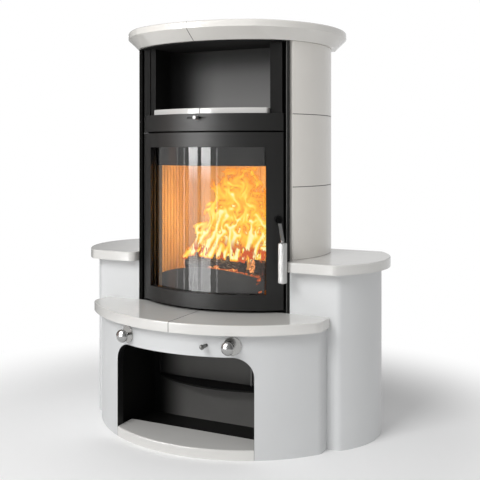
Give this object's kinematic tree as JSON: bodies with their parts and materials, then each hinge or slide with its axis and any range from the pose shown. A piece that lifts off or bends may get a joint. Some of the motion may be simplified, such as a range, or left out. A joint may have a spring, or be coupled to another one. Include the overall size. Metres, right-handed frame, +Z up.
{
  "type": "tiled wood stove",
  "caption": "Free-standing tiled wood stove with a curved glass fire door, a warming niche, ceramic side tiles and a masonry bench base with a wood store.",
  "frame": {"origin": "on the floor, in the middle of the footprint's box: half way between the front of the bench slab and the wall", "axes": "+Z up, -Y out of the fire door towards the room, +Y towards the wall, +X to the right of someone facing the door"},
  "size_m": [1.182, 0.681, 1.4331],
  "materials": {
    "plaster": "fine matt mineral plaster, painted off-white",
    "slab_glaze": "glossy white glaze",
    "tile_glaze": "satin warm light grey glaze",
    "black_steel": "satin heat-proof black-grey lacquer",
    "cast_iron": "matt black, sooty",
    "fireclay": "rough fireclay, warm",
    "door_glass": "clear ceramic glass",
    "seal_rope": "glass fibre rope",
    "zinc_steel": "plain steel",
    "grip_steel": "satin stainless steel",
    "chrome": "polished chrome",
    "firewood": "charred bark and ash",
    "fire": "flames and glowing coals, for looks only",
    "joint_filler": "dark grey filler in the joints"
  },
  "bodies": {
    "stove_body": {"air_inlet_spigot": "zinc_steel", "air_panel": "black_steel", "baffle_plates": "fireclay", "base_front_wall": "plaster", "bench_slab_left": "slab_glaze", "bench_slab_right": "slab_glaze", "casing_side_left": "black_steel", "casing_side_right": "black_steel", "casing_top": "black_steel", "control_rosettes": "chrome", "door_hinge_pins": "black_steel", "firebox_front_frame": "cast_iron", "firebox_shell": "cast_iron", "firewood": "firewood", "flue_spigot": "zinc_steel", "front_bulkhead": "black_steel", "grate": "cast_iron", "levelling_feet": "zinc_steel", "lining_back": "fireclay", "lining_floor": "fireclay", "lining_left": "fireclay", "lining_right": "fireclay", "log_guard": "cast_iron", "niche_liner": "black_steel", "plinth_box": "black_steel", "plinth_front_panel": "black_steel", "plinth_shelf": "black_steel", "rear_panel": "black_steel", "shelf_plate_left": "slab_glaze", "shelf_plate_right": "slab_glaze", "side_tile_lower_left": "tile_glaze", "side_tile_lower_right": "tile_glaze", "side_tile_middle_left": "tile_glaze", "side_tile_middle_right": "tile_glaze", "side_tile_upper_left": "tile_glaze", "side_tile_upper_right": "tile_glaze", "top_plate_left": "tile_glaze", "top_plate_right": "tile_glaze", "wing_body_left": "plaster", "wing_body_right": "plaster", "wing_slab_left": "slab_glaze", "wing_slab_right": "slab_glaze", "wood_store_floor_slab": "slab_glaze", "wood_store_liner": "black_steel"},
    "fire_door": {"door_frame": "black_steel", "door_glass": "door_glass", "door_seal": "seal_rope", "glass_clips": "zinc_steel"},
    "door_handle": {"door_handle_arm": "black_steel", "door_handle_grip": "grip_steel"},
    "air_slider_body": {"air_slider": "chrome"},
    "left_air_control": {"left_air_knob": "chrome", "left_air_damper": "black_steel"},
    "right_air_control": {"right_air_knob": "chrome", "right_air_damper": "black_steel"},
    "riddling_control": {"riddling_knob": "black_steel", "riddling_bar": "cast_iron"},
    "ash_door_leaf": {"ash_door": "black_steel", "ash_door_handle": "black_steel"},
    "ash_drawer": {"ash_pan": "black_steel"}
  },
  "joints": [
    {"name": "fire_door_hinge", "type": "hinge", "parent": "stove_body", "child": "fire_door", "pos_m": [-0.2715, -0.03748, 0.754], "axis": [0, 0, -1], "range_deg": [0, 75]},
    {"name": "door_handle_turn", "type": "hinge", "parent": "fire_door", "child": "door_handle", "pos_m": [0.267, -0.0556, 0.76], "axis": [-0.5995, 0.8004, 0], "range_deg": [0, 50]},
    {"name": "air_slider_travel", "type": "hinge", "parent": "stove_body", "child": "air_slider_body", "pos_m": [0, 0.3009, 1.1095], "axis": [0, 0, 1], "range_deg": [-4.4, 3.4]},
    {"name": "left_air_pull", "type": "slide", "parent": "stove_body", "child": "left_air_control", "axis": [0, -1, 0], "range_m": [-0.01, 0.02]},
    {"name": "right_air_pull", "type": "slide", "parent": "stove_body", "child": "right_air_control", "axis": [0, -1, 0], "range_m": [-0.01, 0.02]},
    {"name": "riddling_pull", "type": "slide", "parent": "stove_body", "child": "riddling_control", "axis": [0, -1, 0], "range_m": [-0.01, 0.015]},
    {"name": "ash_door_hinge", "type": "hinge", "parent": "stove_body", "child": "ash_door_leaf", "pos_m": [-0.253, 0.0262, 0.226], "axis": [0, 0, -1], "range_deg": [0, 90]},
    {"name": "ash_pan_slide", "type": "slide", "parent": "stove_body", "child": "ash_drawer", "axis": [0, -1, 0], "range_m": [0, 0.0715]}
  ],
  "couplings": [
    {"joint": "ash_pan_slide", "follows": "ash_door_hinge", "m_per_rad": 0.045}
  ]
}
